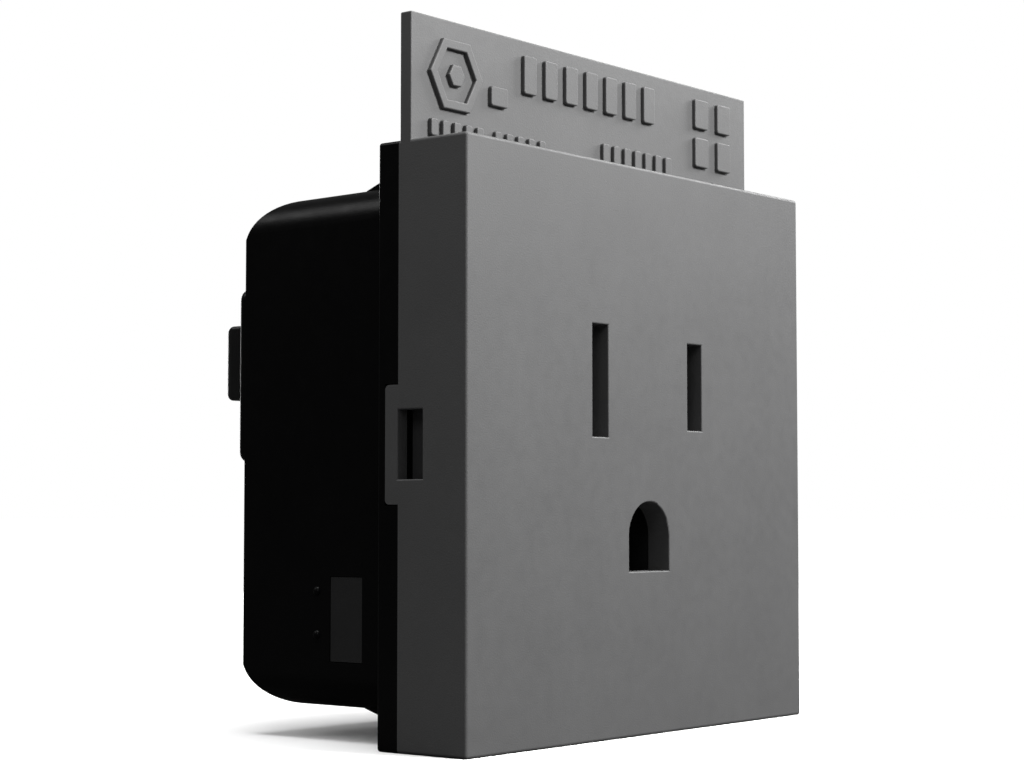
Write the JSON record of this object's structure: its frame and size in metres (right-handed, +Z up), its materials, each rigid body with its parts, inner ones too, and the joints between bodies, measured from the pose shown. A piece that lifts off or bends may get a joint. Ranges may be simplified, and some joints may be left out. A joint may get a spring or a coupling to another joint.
{
  "type": "single wall receptacle module",
  "caption": "Square single receptacle module with two blade slots and a ground hole, shutters behind the slots, a boxy rear housing and push-in wire terminals.",
  "frame": {"origin": "centre of the plug face, on its front surface", "axes": "+Z up, +Y back into the wall, +X to the right seen from the front"},
  "size_m": [0.0444, 0.03, 0.0536],
  "materials": {
    "grey_cover": "fine matt texture",
    "grey_tray": "matt",
    "carrier_plastic": "matt dark grey",
    "black_plastic": "satin matt",
    "button_plastic": "satin",
    "shutter_plastic": "slippery, semi-gloss",
    "brass": "rolled strip",
    "spring_steel": "rolled, slightly oiled"
  },
  "bodies": {
    "receptacle": {"front_cover": "grey_cover", "rear_housing": "black_plastic", "contact_carrier": "carrier_plastic", "shutter_tray": "grey_tray", "shutter_spring_neutral": "spring_steel", "shutter_spring_hot": "spring_steel", "neutral_contact": "brass", "hot_contact": "brass", "ground_contact": "brass", "neutral_grip_spring": "spring_steel", "hot_grip_spring": "spring_steel", "ground_grip_spring": "spring_steel", "neutral_wire_spring": "spring_steel", "hot_wire_spring": "spring_steel", "ground_wire_spring": "spring_steel"},
    "neutral_shutter": {"shutter_neutral": "shutter_plastic"},
    "hot_shutter": {"shutter_hot": "shutter_plastic"},
    "neutral_button": {"neutral_release_button": "button_plastic"},
    "hot_button": {"hot_release_button": "button_plastic"},
    "ground_button": {"ground_release_button": "button_plastic"}
  },
  "joints": [
    {"name": "neutral_shutter_slide", "type": "slide", "parent": "receptacle", "child": "neutral_shutter", "axis": [-1, 0, 0], "range_m": [0, 0.0032], "stiffness_N_per_m": 60, "springref_m": -0.005, "deforming": ["shutter_spring_neutral"]},
    {"name": "hot_shutter_slide", "type": "slide", "parent": "receptacle", "child": "hot_shutter", "axis": [1, 0, 0], "range_m": [0, 0.0032], "stiffness_N_per_m": 60, "springref_m": -0.005, "deforming": ["shutter_spring_hot"]},
    {"name": "neutral_button_slide", "type": "slide", "parent": "receptacle", "child": "neutral_button", "axis": [0, -1, 0], "range_m": [0, 0.0016], "stiffness_N_per_m": 800, "springref_m": -0.004, "deforming": ["neutral_wire_spring"]},
    {"name": "hot_button_slide", "type": "slide", "parent": "receptacle", "child": "hot_button", "axis": [0, -1, 0], "range_m": [0, 0.0016], "stiffness_N_per_m": 800, "springref_m": -0.004, "deforming": ["hot_wire_spring"]},
    {"name": "ground_button_slide", "type": "slide", "parent": "receptacle", "child": "ground_button", "axis": [0, -1, 0], "range_m": [0, 0.0016], "stiffness_N_per_m": 800, "springref_m": -0.004, "deforming": ["ground_wire_spring"]}
  ],
  "couplings": [
    {"joint": "hot_shutter_slide", "follows": "neutral_shutter_slide", "ratio": 1}
  ]
}
